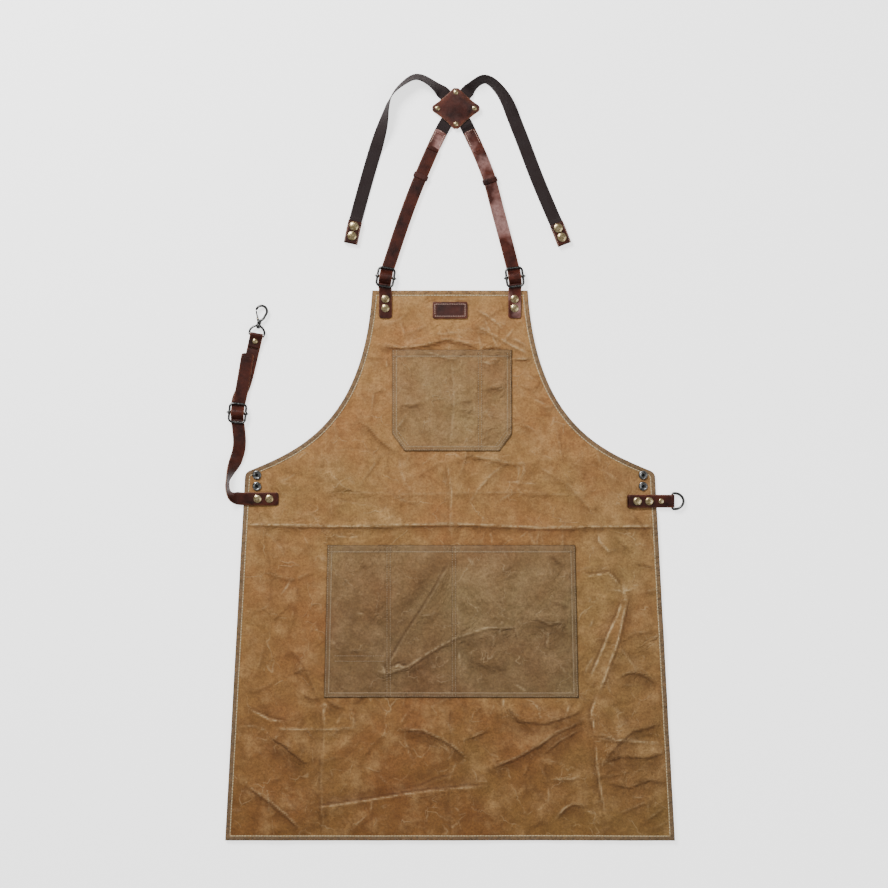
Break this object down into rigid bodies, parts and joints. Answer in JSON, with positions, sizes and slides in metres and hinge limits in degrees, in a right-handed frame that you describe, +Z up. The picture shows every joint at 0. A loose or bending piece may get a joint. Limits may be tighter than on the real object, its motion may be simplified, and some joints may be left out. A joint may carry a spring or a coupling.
{
  "type": "butcher apron",
  "caption": "Waxed-canvas bib apron with bib and lap pockets, a cross-back leather and webbing harness, snap studs, slide buckles and a hook-and-ring waist strap.",
  "frame": {"origin": "the underside of the cloth, on its centre line, 419 mm above its bottom hem and 415 mm below its top hem", "axes": "the apron lies flat: +Y up the apron to the bib and neck, +X to the side of the waist ring, +Z up out of its front face"},
  "size_m": [0.6966, 1.1634, 0.0209],
  "materials": {
    "waxed_canvas": "matt waxed cotton canvas with light crease lines",
    "pocket_canvas": "greyer waxed canvas",
    "leather": "oiled red-brown leather with pale cut edges",
    "webbing": "dark ribbed cotton webbing",
    "brass": "pale antique brass caps",
    "gunmetal": "dark gunmetal plating"
  },
  "bodies": {
    "bib": {"canvas_bib": "waxed_canvas", "bib_pocket": "pocket_canvas", "label_patch": "leather", "bib_strap_end_left": "leather", "bib_strap_end_right": "leather", "bib_cap_left_upper": "brass", "bib_cap_left_lower": "brass", "bib_cap_right_upper": "brass", "bib_cap_right_lower": "brass", "hip_stud_left_upper": "gunmetal", "hip_stud_left_lower": "gunmetal", "hip_stud_right_upper": "gunmetal", "hip_stud_right_lower": "gunmetal", "waist_strap_end": "leather", "waist_cap_inner": "brass", "waist_cap_outer": "brass", "ring_tab": "leather", "ring_cap_inner": "brass", "ring_cap_outer": "brass", "ring_tab_rivet": "brass"},
    "skirt": {"canvas_skirt": "waxed_canvas", "lap_pocket": "pocket_canvas"},
    "harness": {"shoulder_strap_left": "leather", "shoulder_strap_right": "leather", "back_strap_left": "leather", "back_strap_right": "leather", "slide_buckle_left_bar": "gunmetal", "slide_buckle_right_bar": "gunmetal", "webbing_left": "webbing", "webbing_right": "webbing", "strap_tip_left": "leather", "strap_tip_right": "leather", "tip_cap_left_upper": "brass", "tip_cap_left_lower": "brass", "tip_cap_right_upper": "brass", "tip_cap_right_lower": "brass"},
    "buckle_frame_left": {"slide_buckle_left": "gunmetal"},
    "buckle_frame_right": {"slide_buckle_right": "gunmetal"},
    "keeper_left": {"keeper_left": "leather"},
    "keeper_right": {"keeper_right": "leather"},
    "cross_patch": {"cross_patch_front": "leather", "cross_patch_back": "leather", "patch_rivet_left": "brass", "patch_rivet_right": "brass", "patch_rivet_upper": "brass", "patch_rivet_lower": "brass"},
    "waist_strap": {"waist_strap": "leather", "waist_buckle_bar": "gunmetal", "hook_strap": "leather", "hook_strap_rivet": "brass"},
    "waist_buckle_frame": {"waist_buckle": "gunmetal"},
    "hook_eye": {"hook_eye": "gunmetal"},
    "snap_hook": {"snap_hook": "gunmetal", "hook_gate_pin": "brass"},
    "hook_gate": {"hook_gate": "gunmetal"},
    "d_ring": {"d_ring": "gunmetal"}
  },
  "joints": [
    {"name": "waist_fold", "type": "hinge", "parent": "bib", "child": "skirt", "pos_m": [0, 0.059, 0.012], "axis": [1, 0, 0], "range_deg": [-175, 0]},
    {"name": "harness_fold", "type": "hinge", "parent": "bib", "child": "harness", "pos_m": [0, 0.4185, 0.01], "axis": [1, 0, 0], "range_deg": [0, 170]},
    {"name": "buckle_slide_left", "type": "slide", "parent": "harness", "child": "buckle_frame_left", "axis": [0.166, 0.9861, 0], "range_m": [-0.0015, 0.0015]},
    {"name": "buckle_slide_right", "type": "slide", "parent": "harness", "child": "buckle_frame_right", "axis": [-0.1194, 0.9929, 0], "range_m": [-0.0015, 0.0015]},
    {"name": "keeper_slide_left", "type": "slide", "parent": "harness", "child": "keeper_left", "axis": [0.3871, 0.922, 0], "range_m": [-0.008, 0.008]},
    {"name": "keeper_slide_right", "type": "slide", "parent": "harness", "child": "keeper_right", "axis": [-0.2948, 0.9556, 0], "range_m": [-0.008, 0.008]},
    {"name": "patch_slide", "type": "slide", "parent": "harness", "child": "cross_patch", "axis": [0, 1, 0], "range_m": [-0.002, 0.002]},
    {"name": "waist_strap_fold", "type": "hinge", "parent": "bib", "child": "waist_strap", "pos_m": [-0.318, 0.099, 0.008], "axis": [0, 1, 0], "range_deg": [0, 120]},
    {"name": "waist_buckle_slide", "type": "slide", "parent": "waist_strap", "child": "waist_buckle_frame", "axis": [0.0971, 0.9953, 0], "range_m": [-0.0015, 0.0015]},
    {"name": "hook_eye_swing", "type": "hinge", "parent": "waist_strap", "child": "hook_eye", "pos_m": [-0.2934, 0.347, 0.0048], "axis": [0.9781, -0.2079, 0], "range_deg": [0, 120]},
    {"name": "hook_swivel", "type": "hinge", "parent": "hook_eye", "child": "snap_hook", "pos_m": [-0.2934, 0.347, 0.0048], "axis": [0.2079, 0.9781, 0], "continuous": true},
    {"name": "gate_open", "type": "hinge", "parent": "snap_hook", "child": "hook_gate", "pos_m": [-0.2917, 0.3723, 0.0048], "axis": [0, 0, -1], "range_deg": [0, 25], "stiffness_Nm_per_rad": 0.02},
    {"name": "ring_swing", "type": "hinge", "parent": "bib", "child": "d_ring", "pos_m": [0.337, 0.0955, 0.00405], "axis": [0, -1, 0], "range_deg": [0, 150]}
  ]
}
